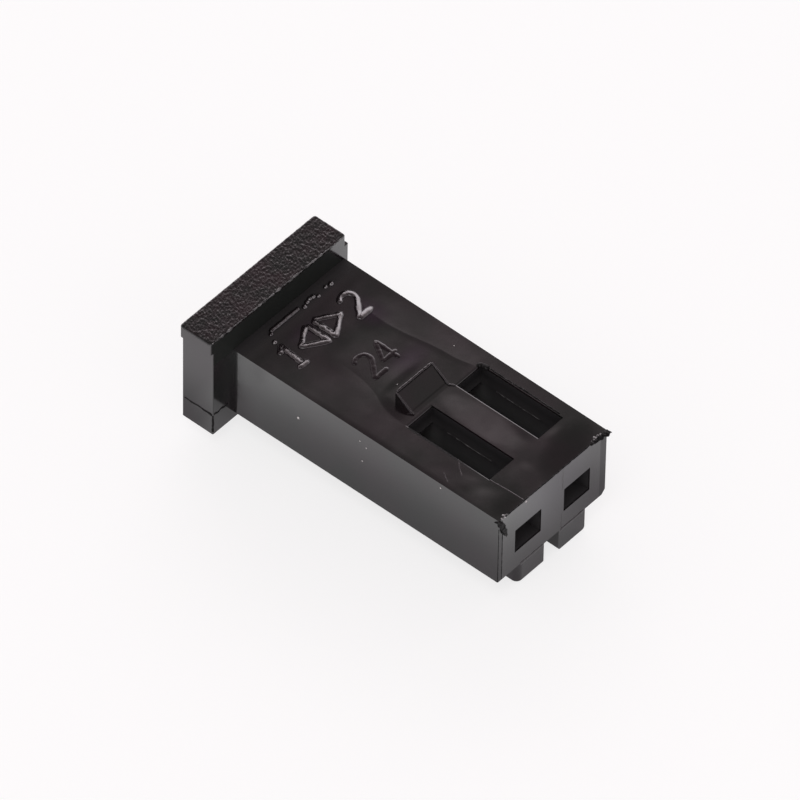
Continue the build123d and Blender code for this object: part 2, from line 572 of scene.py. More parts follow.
def spark_texture_tree():
    """Raises the fine pimples of a spark eroded mould on the upper side of a slab."""
    sockets = (
        ("Depth", "Float", 0.02 * MM),
        ("Coarse grain", "Float", 15.0 / MM),
        ("Fine grain", "Float", 20.0 / MM),
        ("Streak direction", "Vector", (0.757, 0.653, 0.0)),
        ("Streak", "Float", 0.50),
        ("Level", "Float", 2.8 * MM),
    )
    tree, group = geometry_tree("Spark texture", sockets)
    place = position(tree)
    height = split(place)["Z"]
    along = vector_calc("DOT_PRODUCT", place, group["Streak direction"])
    along = product(along, group["Streak"])
    place = vector_calc("SUBTRACT", place, scaled(group["Streak direction"], along))
    coarse = seeded_noise(place, group["Seed"], group["Coarse grain"], 2.0)[0]
    fine = seeded_noise(place, group["Seed"], group["Fine grain"], 1.0)[0]
    coarse = mapped(coarse, 0.38, 0.70, 0.0, 0.7)
    rise = total(coarse, mapped(fine, 0.35, 0.7, 0.0, 0.3))
    top = calc("ADD", group["Level"], 0.04 * MM)
    rise = product(rise, group["Depth"], mapped(height, group["Level"], top))
    normal = put(tree, "GeometryNodeInputNormal").outputs[0]
    return close_tree(tree, moved(group["Geometry"], scaled(normal, rise)), group)


def linked(name, data):
    """A new object in the scene."""
    piece = bpy.data.objects.new(name, data)
    bpy.context.scene.collection.objects.link(piece)
    return piece


def grown(name, mesh, tree, values):
    """Runs a geometry tree on a mesh and keeps the result as the piece's plain mesh."""
    piece = linked(name, mesh)
    modifier = piece.modifiers.new("shape", "NODES")
    modifier.node_group = tree
    sockets = {item.name: item for item in tree.interface.items_tree if item.in_out == "INPUT"}
    for label, value in values.items():
        modifier[sockets[label].identifier] = value
    depsgraph = bpy.context.evaluated_depsgraph_get()
    result = bpy.data.meshes.new_from_object(piece.evaluated_get(depsgraph))
    piece.modifiers.remove(modifier)
    piece.data = result
    result.name = name
    return piece


def joined(name, pieces):
    """Makes one piece of several, with one material slot for each finish."""
    finishes = []
    whole = bmesh.new()
    for piece in pieces:
        start = len(whole.faces)
        whole.from_mesh(piece.data)
        whole.faces.ensure_lookup_table()
        own = list(piece.data.materials)
        for face in whole.faces[start:]:
            finish = own[face.material_index]
            if finish not in finishes:
                finishes.append(finish)
            face.material_index = finishes.index(finish)
    mesh = bpy.data.meshes.new(name)
    whole.to_mesh(mesh)
    whole.free()
    for finish in finishes:
        mesh.materials.append(finish)
    for piece in pieces:
        bpy.data.objects.remove(piece)
    return linked(name, mesh)


def settle(piece):
    """The piece rides on the housing's body."""
    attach(piece, BODY)


def line_mesh(name, strokes):
    """A mesh of loose edges through strokes of points in millimetres."""
    points, edges = [], []
    for stroke in strokes:
        start = len(points)
        points += [Vector(point) * MM for point in stroke]
        edges += [(i, i + 1) for i in range(start, len(points) - 1)]
    mesh = bpy.data.meshes.new(name)
    mesh.from_pydata(points, edges, [])
    return mesh


def ridge(tree, name, strokes, plane, finish, sizes, raggedness, grain, seed):
    """A raised line, whose width, height and wobble are sizes in millimetres."""
    width, height, wobble = sizes
    values = {
        "Width": width * MM,
        "Height": height * MM,
        "Wobble": wobble * MM,
        "Raggedness": raggedness,
        "Grain": grain / MM,
        "Seed": seed,
        "Material": finish,
    }
    return grown(name, line_mesh(name, strokes), tree, {**values, **plane})


def pips(tree, name, places, plane, finish, sizes, flatness, seed):
    """Pips at places in millimetres; the sizes are radius, smallest share and lumpiness."""
    radius, smallest, lumpiness = sizes
    values = {
        "Radius": radius * MM,
        "Smallest": smallest,
        "Flatness": flatness,
        "Lumpiness": lumpiness * MM,
        "Seed": seed,
        "Material": finish,
    }
    mesh = bpy.data.meshes.new(name)
    mesh.from_pydata([Vector(place) * MM for place in places], [], [])
    return grown(name, mesh, tree, {**values, **plane})


# Plain signs of the roof


def arc(centre, radii, start, end, steps=14):
    """Points of an arc in degrees, from the start angle to the end angle."""
    (x, y), (radius_x, radius_y) = centre, radii
    angles = [math.radians(start + (end - start) * i / steps) for i in range(steps + 1)]
    return [(x + radius_x * math.cos(a), y + radius_y * math.sin(a)) for a in angles]


# Strokes in a box one unit high, with the reading direction along x
GLYPHS = {
    "1": [[(0.02, 0.74), (0.28, 1.0), (0.28, 0.0)], [(0.04, 0.0), (0.52, 0.0)]],
    "2": [arc((0.30, 0.72), (0.28, 0.27), 165, -40) + [(0.02, 0.0), (0.62, 0.0)]],
    "4": [[(0.46, 0.0), (0.46, 1.0), (0.0, 0.30), (0.66, 0.30)]],
    "to left": [[(0.74, 0.98), (0.0, 0.50), (0.74, 0.02), (0.74, 0.98)]],
    "to right": [[(0.0, 0.98), (0.74, 0.50), (0.0, 0.02), (0.0, 0.98)]],
}

# Signs, each with the left and lower edge of its box, its slant and its share of the height
CIRCUIT_SIGNS = (
    ("1", -2.10, 9.72, 0.10, 1.0),
    ("to left", -1.22, 9.74, 0.0, 1.0),
    ("to right", -0.05, 9.74, 0.0, 1.0),
    ("2", 1.10, 9.72, 0.05, 1.0),
)
CAVITY_NUMBER = (("2", -0.66, 7.47, 0.0, 1.0), ("4", 0.14, 7.47, 0.0, 0.98))
BAR = (((-1.45, 11.56), (0.10, 11.56)), ((-1.38, 11.50), (-1.58, 11.42)))
DOTS = (
    (-1.68, 11.12), (0.24, 11.46), (0.46, 11.54), (0.64, 11.58), (0.80, 11.56), (0.94, 11.44),
    (1.42, 11.54), (1.66, 11.50),
)


def sign_strokes(rows, height):
    """Strokes of signs on the roof, in millimetres."""
    signs = [(*row[:4], height * row[4]) for row in rows]
    return [
        [(left + (x + slant * y) * size, low + y * size, ROOF) for x, y in stroke]
        for sign, left, low, slant, size in signs
        for stroke in GLYPHS[sign]
    ]


# Planes, and the lines, flakes and specks that lie on them


def face(normal, distance):
    """A plane for ridges and pips: its direction, and its distance in millimetres."""
    return {"Face normal": normal, "Face distance": distance * MM}


HALF = 0.707
ON_ROOF = face((0.0, 0.0, 1.0), ROOF)
ON_FRONT = face((0.0, -1.0, 0.0), -MATING_FACE)
ON_COLLAR_FRONT = face((0.0, -1.0, 0.0), -COLLAR_FRONT)
ON_COLLAR_LEFT = face((-1.0, 0.0, 0.0), -COLLAR_LEFT)
ON_COLLAR_RIGHT = face((1.0, 0.0, 0.0), COLLAR_RIGHT)
ON_COLLAR_CORNER = face((-HALF, -HALF, 0.0), -HALF * (COLLAR_LEFT + COLLAR_FRONT) - 0.017)
ON_ROOF_EDGE = face((0.0, -HALF, HALF), ROOF * HALF)
ON_CAP_EDGE = face((0.0, -HALF, HALF), HALF * (CAP_TOP - COLLAR_FRONT) - 0.02)
ON_RAMP = face((0.0, -0.585, 0.811), -0.585 * 6.2 + 0.811 * 2.26)
LEFT_WINDOW = -0.29
RIGHT_WINDOW = 2.25
ON_LEFT_WINDOW = face((-1.0, 0.0, 0.0), -LEFT_WINDOW)
ON_RIGHT_WINDOW = face((-1.0, 0.0, 0.0), -RIGHT_WINDOW)
RIB_ROOT = -1.39

# The parting line of the mould halves on the collar: its height and how it wanders
PARTING_LEVEL = -0.77
PARTING_WAVE = (0.0, 0.03, -0.02, 0.02, 0.04, 0.0, -0.03, 0.02, 0.0)
PARTING_CORNER = [(COLLAR_LEFT, y, z) for y, z in ((12.30, -0.765), (12.12, -0.775), (11.98, -0.78))]


def spaced(low, high, y, z, steps=20):
    """A straight stroke across the housing with even steps."""
    return [(low + (high - low) * i / steps, y, z) for i in range(steps + 1)]


def pale_rim(x):
    """A stroke along the upper edge of a cavity's wall, inside a window."""
    return [(x, 4.5, 0.86), (x, 3.4, 0.85), (x, 2.5, 0.86)]


# Marks of the mould's inserts, two scratches, the roots of the ribs and pale lines along the rims in the
# windows:
# finish, plane, width and height in millimetres, seed and strokes
WITNESS_LINES = (
    ("glossy", ON_ROOF, 0.05, 0.016, 21.0, [
        [(-1.505, 0.02, ROOF), (-1.53, 0.80, ROOF), (-1.58, 1.50, ROOF)],
    ]),
    ("glossy", ON_ROOF, 0.045, 0.012, 22.0, [
        [(-2.60, 2.48, ROOF), (-2.50, 2.66, ROOF), (-2.36, 2.86, ROOF)],
        [(-2.08, 2.30, ROOF), (-1.84, 2.62, ROOF), (-1.58, 2.88, ROOF)],
    ]),
    ("glossy", ON_FRONT, 0.05, 0.008, 24.0, [
        [(0.52, 0.0, 1.66), (0.53, 0.0, 0.6)],
        [(0.51, 0.0, -0.6), (0.50, 0.0, -1.3)],
    ]),
    ("torn", ON_FRONT, 0.032, 0.012, 25.0, [
        [(-2.62, 0.0, 1.05), (-2.61, 0.0, -1.34)],
        [(-2.805, 0.01, 1.3), (-2.805, 0.01, -1.34)],
    ]),
    ("glossy", ON_FRONT, 0.12, 0.02, 28.0, [
        [(-1.66, 0.0, RIB_ROOT), (-0.42, 0.0, RIB_ROOT)],
        [(0.45, 0.0, RIB_ROOT), (1.70, 0.0, RIB_ROOT)],
    ]),
    ("pale_patchy", ON_LEFT_WINDOW, 0.04, 0.012, 26.0, [pale_rim(LEFT_WINDOW)]),
    ("pale_patchy", ON_RIGHT_WINDOW, 0.04, 0.012, 27.0, [pale_rim(RIGHT_WINDOW)]),
)

# The edges of the ramp, the roof, the right window with its hook, and the cap: the same, with the
# raggedness after the height. None stands for the value in the settings
EDGE_LINES = (
    ("glossy", ON_RAMP, 0.07, 0.035, 0.25, 35.0, [
        [(-1.03, 6.19, 2.25), (-1.03, 5.36, 1.73)],
        [(0.81, 6.19, 2.25), (0.81, 5.40, 1.74), (0.94, 5.20, 1.72)],
    ]),
    ("glossy", ON_RAMP, 0.09, 0.04, 0.25, 36.0, [
        [(-1.00, 6.18, 2.26), (0.0, 6.185, 2.26), (0.80, 6.18, 2.26)],
    ]),
    ("torn", ON_ROOF_EDGE, None, 0.02, None, 31.0, [spaced(-2.50, 2.50, 0.005, ROOF - 0.008)]),
    ("torn", ON_ROOF, 0.06, 0.02, None, 32.0, [
        [(2.32, 5.15, ROOF), (2.30, 4.2, ROOF), (2.33, 3.2, ROOF), (2.31, 1.7, ROOF)],
    ]),
    ("torn", ON_ROOF, 0.20, 0.07, 0.5, 33.0, [
        [(2.28, 4.85, ROOF), (2.26, 5.18, ROOF), (2.10, 5.28, ROOF)],
    ]),
    # Along the cap's front edge lies a ragged ridge in pale patches: painted highlights of that edge
    ("pale_patchy", ON_CAP_EDGE, 0.052, 0.022, 1.5, 37.0, [
        spaced(CAP_LEFT + 0.08, CAP_RIGHT - 0.08, COLLAR_FRONT, CAP_TOP - 0.01),
    ]),
)

# Torn flakes on the front corners: the way across the leaf, and points of x, y, z and width
FLAKES = (
    ("corner_flash_left", (0.90, -0.20, 0.40), (
        (-2.94, 0.02, 1.80, 0.10), (-2.82, -0.06, 1.66, 0.24), (-2.71, -0.10, 1.42, 0.22),
        (-2.62, -0.10, 1.18, 0.20), (-2.52, -0.08, 0.92, 0.14), (-2.44, -0.03, 0.70, 0.02),
    )),
    ("corner_flash_right", (0.05, -0.98, -0.15), (
        (1.90, -0.01, 1.71, 0.03), (2.08, -0.03, 1.73, 0.14), (2.22, -0.03, 1.71, 0.12),
        (2.36, -0.06, 1.73, 0.20), (2.50, -0.05, 1.72, 0.16), (2.66, -0.06, 1.72, 0.26),
        (2.80, -0.03, 1.70, 0.24), (2.90, -0.02, 1.60, 0.16), (2.97, -0.01, 1.50, 0.02),
    )),
)
FLAKE_THICKNESS = 0.05
FLAKE_SEED = 3

# Specks and crumbs: finish, the way that their face looks, radius and places in millimetres
UP, FORWARD, LEFTWARD = (0.0, 0.0, 1.0), (0.0, -1.0, 0.0), (-1.0, 0.0, 0.0)
SPECKS = (
    ("dust", LEFTWARD, 0.055, [(LEFT_SIDE - 0.045, 8.98, 0.42)]),
    ("dust", LEFTWARD, 0.032, [
        (LEFT_SIDE - 0.012, 2.60, 1.52), (LEFT_SIDE - 0.03, 6.22, 1.25),
        (LEFT_SIDE - 0.03, 5.93, 1.10), (LEFT_SIDE - 0.03, 6.10, 0.33),
        (LEFT_SIDE - 0.05, 10.4, 0.45),
    ]),
    ("dust", UP, 0.020, [(2.30, 6.46, ROOF), (-0.35, 6.72, ROOF)]),
    ("dust", FORWARD, 0.05, [(-1.42, 0.0, 1.60)]),
    ("crumbs", UP, 0.050, [
        (-2.63, 0.02, ROOF), (-2.53, 0.00, ROOF), (-2.45, 0.05, ROOF), (-2.38, 0.01, ROOF),
        (-2.50, 0.09, ROOF), (2.06, 0.05, ROOF), (2.18, 0.07, ROOF), (2.30, 0.05, ROOF),
        (2.41, 0.09, ROOF), (2.27, 0.13, ROOF), (2.52, 0.06, ROOF),
    ]),
)

# Brightness of the floor's glow as reflections see it, by its distance from the housing, in units of 4
# mm: painted shadow, darkest next to the housing
FLOOR_LEVELS = (
    (0.20, 0.33), (0.32, 0.38), (0.45, 0.50), (0.59, 0.74), (0.66, 0.84), (0.80, 0.94), (1.0, 1.0),
)

# Brightness of the world by the sine of the height above the horizon
SKY_LEVELS = (
    (0.0, 0.95), (0.40, 1.0), (0.58, 0.95), (0.66, 0.74), (0.736, 0.45), (0.80, 0.29), (0.88, 0.20),
    (1.0, 0.18),
)

# Ways towards the backlight, the dark card over the front and the gleam on the roof
TO_BACKLIGHT = (0.70, 0.60, 0.385)
TO_DARK_CARD = (0.515, -0.560, 0.648)
TO_GLEAM = (0.516, 0.0, 0.857)
GLEAM = 0.16
LAMP_PLACE = (-0.35, -0.1, 0.75)
LAMP_SIZE = 0.5
FLOOR_GAP = 0.002
SENSOR_WIDTH = 36.0


# Settings


def length_property(label, description, default):
    return bpy.props.FloatProperty(
        name=label,
        description=description,
        default=default * MM,
        min=0.0,
        precision=6,
        subtype="DISTANCE",
        unit="LENGTH",
    )


def colour_property(label, description, default):
    return bpy.props.FloatVectorProperty(
        name=label,
        description=description,
        default=default,
        size=3,
        min=0.0,
        max=1.0,
        subtype="COLOR",
    )


def factor_property(label, description, default, highest=1.0):
    return bpy.props.FloatProperty(
        name=label, description=description, default=default, min=0.0, max=highest, subtype="FACTOR"
    )


def angle_property(label, description, degrees):
    return bpy.props.FloatProperty(
        name=label, description=description, default=math.radians(degrees), subtype="ANGLE"
    )


class FinishSettings(bpy.types.PropertyGroup):
    colour: colour_property(
        "Plastic colour", "Colour of the moulded plastic", (0.0092, 0.0052, 0.0070)
    )
    cool_colour: colour_property(
        "Cooler colour", "Colour where the plastic has a cooler tint", (0.0048, 0.0064, 0.0052)
    )
    purple: colour_property(
        "Purple tint", "Colour of the purple patches on the roof", (0.0125, 0.0040, 0.0130)
    )
    # The cavity colours grow paler with depth: painted light that lifts the shade in the cavities
    inner_colour: colour_property(
        "Window colour", "Colour of the duller walls near the windows", (0.023, 0.023, 0.0235)
    )
    deep_painted_light: colour_property(
        "Cavity colour", "Colour of the duller walls deep in the cavities", (0.090, 0.090, 0.092)
    )
    deepest_painted_light: colour_property(
        "Deepest colour", "Colour of the cavity walls behind the windows", (0.17, 0.17, 0.17)
    )
    # Paler colour for the middle and top of the mating face: painted sheen
    front_painted_sheen: colour_property(
        "Painted sheen colour", "Colour of the painted sheen on the middle and top of the mating face", (0.039, 0.038, 0.044)
    )
    # Colours of the corner between the roof and the collar: painted shade
    roof_end_painted_shade: colour_property(
        "Roof end colour", "Colour of the dull end of the roof at the collar", (0.031, 0.030, 0.0305)
    )
    collar_foot_painted_shade: colour_property(
        "Collar foot colour", "Colour of the dull collar above the roof", (0.0160, 0.0185, 0.0165)
    )
    waviness: factor_property("Waviness", "How strongly the moulded faces ripple", 1.0, 10.0)
    sinks: factor_property("Sinks", "How strongly the roof sinks over the thick walls", 1.0, 10.0)
    flare: factor_property("Flare", "Slope of the faces where they meet the collar", 0.30)
    gloss_low: factor_property("Glossiest", "Roughness where the plastic is glossiest", 0.10)
    gloss_high: factor_property("Haziest", "Roughness where the plastic is haziest", 0.20)
    gloss_index: bpy.props.FloatProperty(
        name="Refractive index",
        description="Refractive index of the plastic, which sets how much it mirrors",
        default=1.6,
        min=1.0,
        max=2.5,
    )
    dust_light: colour_property("Light dust", "Lightest colour of the dust", (0.75, 0.74, 0.72))
    dust_dark: colour_property("Dark dust", "Darkest colour of the dust", (0.40, 0.39, 0.38))


class CapSettings(bpy.types.PropertyGroup):
    colour: colour_property("Cap colour", "Colour of the textured cap", (0.0130, 0.0068, 0.0085))
    cool_colour: colour_property(
        "Cooler colour", "Colour where the cap has a cooler tint", (0.0070, 0.0080, 0.0075)
    )
    depth: length_property("Texture depth", "Height of the pimples on the cap", 0.018)
    grit: factor_property("Grit", "Strength of the finest pits", 1.0, 10.0)
    cell: length_property("Cell size", "Spacing of the mesh that carries the texture", 0.022)
    rim: length_property("Rim depth", "How far the texture runs down the cap's sides", 0.09)


class MarkSettings(bpy.types.PropertyGroup):
    height: length_property("Mark height", "Height of the circuit numbers", 1.15)
    stroke: length_property("Stroke width", "Width of the raised strokes", 0.26)
    relief: length_property("Relief", "How far the strokes stand up", 0.065)
    lean: factor_property("Lean", "How far the strokes lean towards the collar", 0.20)
    number_height: length_property("Number height", "Height of the cavity number", 1.12)
    number_relief: length_property("Number relief", "How far the cavity number stands up", 0.032)


class FlashSettings(bpy.types.PropertyGroup):
    seam_width: length_property("Seam width", "Width of the parting line", 0.085)
    seam_height: length_property("Seam height", "How far the parting line stands out", 0.020)
    edge_width: length_property("Edge flash", "Width of the ragged flash on the front edge", 0.045)
    raggedness: factor_property("Raggedness", "How uneven the flash is", 0.45, 4.0)


class StudioSettings(bpy.types.PropertyGroup):
    azimuth: angle_property(
        "Camera azimuth", "Turn of the camera round the housing, from the mating face", -49.61628
    )
    elevation: angle_property("Camera elevation", "Height of the camera over the horizon", 47.38293)
    roll: angle_property("Camera roll", "Turn of the camera about its line of sight", 1.05075)
    aim: bpy.props.FloatVectorProperty(
        name="Camera aim",
        description="Point in the middle of the picture",
        default=(0.08336 * MM, 6.95434 * MM, 0.41005 * MM),
        size=3,
        precision=6,
        subtype="TRANSLATION",
        unit="LENGTH",
    )
    distance: length_property("Camera distance", "Distance from the camera to the aim", 444.169)
    focal_length: bpy.props.FloatProperty(
        name="Focal length",
        description="Focal length of the camera in millimetres",
        default=585.0,
        min=1.0,
    )
    floor_size: length_property("Floor size", "Width of the pale floor", 3000.0)
    lamp_power: bpy.props.FloatProperty(
        name="Lamp power",
        description="Power of the soft lamp over the object, in watts",
        default=1.2,
        min=0.0,
    )
    backlight: factor_property("Backlight", "Brightness of the soft light behind the object", 2.2, 10.0)
    dark_card: factor_property("Dark card", "Brightness left behind the dark card over the front", 0.5)


# Operators


class CONNECTOR_OT_housing(bpy.types.Operator):
    """Gives the moulded housing its black plastic"""

    bl_idname = "connector.housing"
    bl_label = "Finish Housing"

    def execute(self, context):
        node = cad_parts["housing"]
        if not node.material_slots:
            raise RuntimeError("the housing has no material slot")
        material = moulded_plastic("Black moulded plastic", context.scene.connector_finish)
        for material_slot in node.material_slots:
            material_slot.material = material
        return {"FINISHED"}


class CONNECTOR_OT_cap(bpy.types.Operator):
    """Lays the spark eroded texture over the collar's cap"""

    bl_idname = "connector.cap_texture"
    bl_label = "Add Cap Texture"

    def execute(self, context):
        settings = context.scene.connector_cap
        values = {
            "Depth": settings.depth,
            "Level": (CAP_TOP - 0.038) * MM,
            "Seed": 3.0,
            "Material": textured_plastic("Textured cap plastic", settings),
        }
        settle(grown("cap_texture", self.skin(settings), spark_texture_tree(), values))
        return {"FINISHED"}

    def skin(self, settings):
        """A thin closed skin that folds over the rim of the cap, a little proud of it."""
        cell, rim = settings.cell / MM, settings.rim / MM
        inset, flat, bend, proud = 0.10, 0.07, 0.034, 0.004
        low = Vector((CAP_LEFT + inset, COLLAR_FRONT + inset))
        high = Vector((CAP_RIGHT - inset, WIRE_END - inset))
        skirt = flat + bend * math.pi / 2 + rim - bend
        count_x = round((high.x - low.x + 2 * skirt) / cell)
        count_y = round((high.y - low.y + 2 * skirt) / cell)
        mesh = bmesh.new()
        rows = []
        for j in range(count_y + 1):
            t = low.y - skirt + (high.y - low.y + 2 * skirt) * j / count_y
            row = []
            for i in range(count_x + 1):
                s = low.x - skirt + (high.x - low.x + 2 * skirt) * i / count_x
                base = Vector((min(max(s, low.x), high.x), min(max(t, low.y), high.y)))
                out = Vector((s, t)) - base
                reach = min(out.length, skirt)
                way = out.normalized() if out.length else out
                turn = min(max((reach - flat) / bend, 0.0), math.pi / 2)
                drop = (bend + proud) * (1 - math.cos(turn))
                drop += max(reach - flat - bend * math.pi / 2, 0.0)
                spot = base + way * (min(reach, flat) + (bend + proud) * math.sin(turn))
                row.append(mesh.verts.new(Vector((spot.x, spot.y, CAP_TOP + proud - drop)) * MM))
            rows.append(row)
        for below, above in zip(rows, rows[1:]):
            for i in range(count_x):
                mesh.faces.new((below[i], below[i + 1], above[i + 1], above[i]))
        bmesh.ops.remove_doubles(mesh, verts=mesh.verts, dist=cell * MM * 0.05)
        border = [edge for edge in mesh.edges if edge.is_boundary]
        bmesh.ops.holes_fill(mesh, edges=border, sides=0)
        bmesh.ops.recalc_face_normals(mesh, faces=mesh.faces)
        data = bpy.data.meshes.new("cap_texture")
        mesh.to_mesh(data)
        mesh.free()
        return data


class CONNECTOR_OT_marks(bpy.types.Operator):
    """Raises the circuit numbers, the triangles, the bar, the dots and the cavity number"""

    bl_idname = "connector.roof_marks"
    bl_label = "Add Roof Marks"

    def execute(self, context):
        settings, finish = context.scene.connector_marks, context.scene.connector_finish
        lines = raised_line_tree()
        bright = mark_plastic("Bright mark plastic", finish, settings.lean, 1.85)
        brightest = mark_plastic("Bright dot plastic", finish, settings.lean, 2.4)
        strokes = sign_strokes(CIRCUIT_SIGNS, settings.height / MM)
        sizes = (settings.stroke / MM, settings.relief / MM, 0.025)
        signs = ridge(lines, "signs", strokes, ON_ROOF, bright, sizes, 0.28, 3.0, 2.0)
        strokes = [[(x, y, ROOF) for x, y in stroke] for stroke in BAR]
        bar = ridge(lines, "bar", strokes, ON_ROOF, bright, (0.20, 0.10, 0.015), 0.12, 6.0, 5.0)
        places = [(x, y, ROOF) for x, y in DOTS]
        dots = pips(pip_tree(), "dots", places, ON_ROOF, brightest, (0.11, 0.75, 0.02), 0.9, 4.0)
        settle(joined("roof_marks", [signs, bar, dots]))
        dim = mark_plastic("Number plastic", finish, index=1.42)
        strokes = sign_strokes(CAVITY_NUMBER, settings.number_height / MM)
        sizes = (0.21, settings.number_relief / MM, 0.008)
        settle(ridge(lines, "cavity_number", strokes, ON_ROOF, dim, sizes, 0.2, 6.0, 8.0))
        return {"FINISHED"}


class CONNECTOR_OT_flash(bpy.types.Operator):
    """Adds the parting line, the witness lines and the flash along the edges"""

    bl_idname = "connector.flash"
    bl_label = "Add Flash"

    def execute(self, context):
        settings = context.scene.connector_flash
        lines = raised_line_tree()
        torn = ((0.38, 0.004), (0.58, 0.012), (0.70, 0.045))
        finishes = {
            "glossy": mark_plastic("Glossy mark plastic", context.scene.connector_finish),
            "torn": rough_plastic("Torn flash plastic", 9.0, torn, 0.45, 1.18, 0.03),
            "pale_patchy": rough_plastic("Pale patchy plastic", 6.0, ((0.40, 0.02), (0.64, 0.17)), 0.5, 1.45),
        }
        self.parting_line(settings, lines, finishes["torn"])
        made = []
        for finish, plane, width, height, seed, strokes in WITNESS_LINES:
            sizes = (width, height, 0.006)
            made.append(ridge(lines, "witness", strokes, plane, finishes[finish], sizes, 0.5, 5.0, seed))
        settle(joined("witness_lines", made))
        made = []
        for finish, plane, width, height, ragged, seed, strokes in EDGE_LINES:
            sizes = (width or settings.edge_width / MM, height, 0.02)
            ragged = ragged or settings.raggedness
            made.append(ridge(lines, "edge", strokes, plane, finishes[finish], sizes, ragged, 6.0, seed))
        settle(joined("edge_flash", made))
        for name, across, points in FLAKES:
            leaf = self.flake(name, points, Vector(across).normalized())
            leaf.data.materials.append(finishes["torn"])
            settle(leaf)
        return {"FINISHED"}

    def parting_line(self, settings, lines, finish):
        """The line on the collar where the halves of the mould meet."""
        left, front, right = [], [], []
        steps = len(PARTING_WAVE) - 1
        for i, wave in enumerate(PARTING_WAVE):
            y = 12.03 + 1.24 * i / steps
            left.append((COLLAR_LEFT, y, PARTING_LEVEL + 0.6 * wave))
            x = COLLAR_LEFT + 0.05 + 0.09 * i
            front.append((x, COLLAR_FRONT, PARTING_LEVEL + PARTING_WAVE[steps - i]))
            right.append((COLLAR_RIGHT, y, PARTING_LEVEL - 0.5 * wave))
        x, y = COLLAR_LEFT + 0.012, COLLAR_FRONT + 0.012
        foot = [(x, y, z) for z in (-0.80, -1.05, -1.30, -1.62)]
        sizes = (settings.seam_width / MM, settings.seam_height / MM, 0.02)
        made = [
            ridge(lines, "parting_line", [stroke], plane, finish, sizes, 0.5, 4.0, 11.0)
            for stroke, plane in (
                (PARTING_CORNER, ON_COLLAR_LEFT),
                (foot, ON_COLLAR_CORNER),
                (left, ON_COLLAR_LEFT),
                (front, ON_COLLAR_FRONT),
                (right, ON_COLLAR_RIGHT),
            )
        ]
        settle(joined("parting_flash", made))

    def flake(self, name, points, across):
        """A thin curled leaf of plastic along points of x, y, z and width in millimetres."""
        noise.seed_set(FLAKE_SEED)
        spine, widths, steps, count = [], [], 4, 8
        for start, end in zip(points, points[1:]):
            for step in range(steps):
                t = step / steps
                spine.append(Vector(start[:3]).lerp(Vector(end[:3]), t))
                widths.append(start[3] * (1 - t) + end[3] * t)
        spine.append(Vector(points[-1][:3]))
        widths.append(points[-1][3])
        mesh = bmesh.new()
        rings = []
        for k, (point, width) in enumerate(zip(spine, widths)):
            ahead = spine[min(k + 1, len(spine) - 1)] - spine[max(k - 1, 0)]
            out = ahead.normalized().cross(across).normalized()
            ring = []
            for i in range(count):
                angle = 2 * math.pi * i / count
                spot = point + across * (0.5 * width * math.cos(angle))
                spot = spot + out * (0.5 * FLAKE_THICKNESS * math.sin(angle))
                wobble = noise.noise_vector(spot * 11.0) * 0.045
                ring.append(mesh.verts.new((spot + wobble) * MM))
            rings.append(ring)
        for below, above in zip(rings, rings[1:]):
            for i in range(count):
                j = (i + 1) % count
                mesh.faces.new((below[i], below[j], above[j], above[i]))
        mesh.faces.new(rings[0][::-1])
        mesh.faces.new(rings[-1])
        bmesh.ops.recalc_face_normals(mesh, faces=mesh.faces)
        for item in mesh.faces:
            item.smooth = True
        data = bpy.data.meshes.new(name)
        mesh.to_mesh(data)
        mesh.free()
        return linked(name, data)


class CONNECTOR_OT_dust(bpy.types.Operator):
    """Scatters the few specks of dust and crumbs that lie on the housing"""

    bl_idname = "connector.dust"
    bl_label = "Add Dust"

    def execute(self, context):
        finishes = {
            "dust": dust_material("Dust", context.scene.connector_finish),
            "crumbs": rough_plastic("Plastic crumbs", 6.0, ((0.40, 0.02), (0.64, 0.45)), 0.5, 1.45),
        }
        tree = pip_tree()
        made = []
        for finish, normal, radius, places in SPECKS:
            plane = face(normal, Vector(places[0]).dot(Vector(normal)))
            sizes = (radius, 0.6, radius * 0.35)
            made.append(pips(tree, finish, places, plane, finishes[finish], sizes, 0.4, 41.0))
        settle(joined("dust_specks", made))
        return {"FINISHED"}


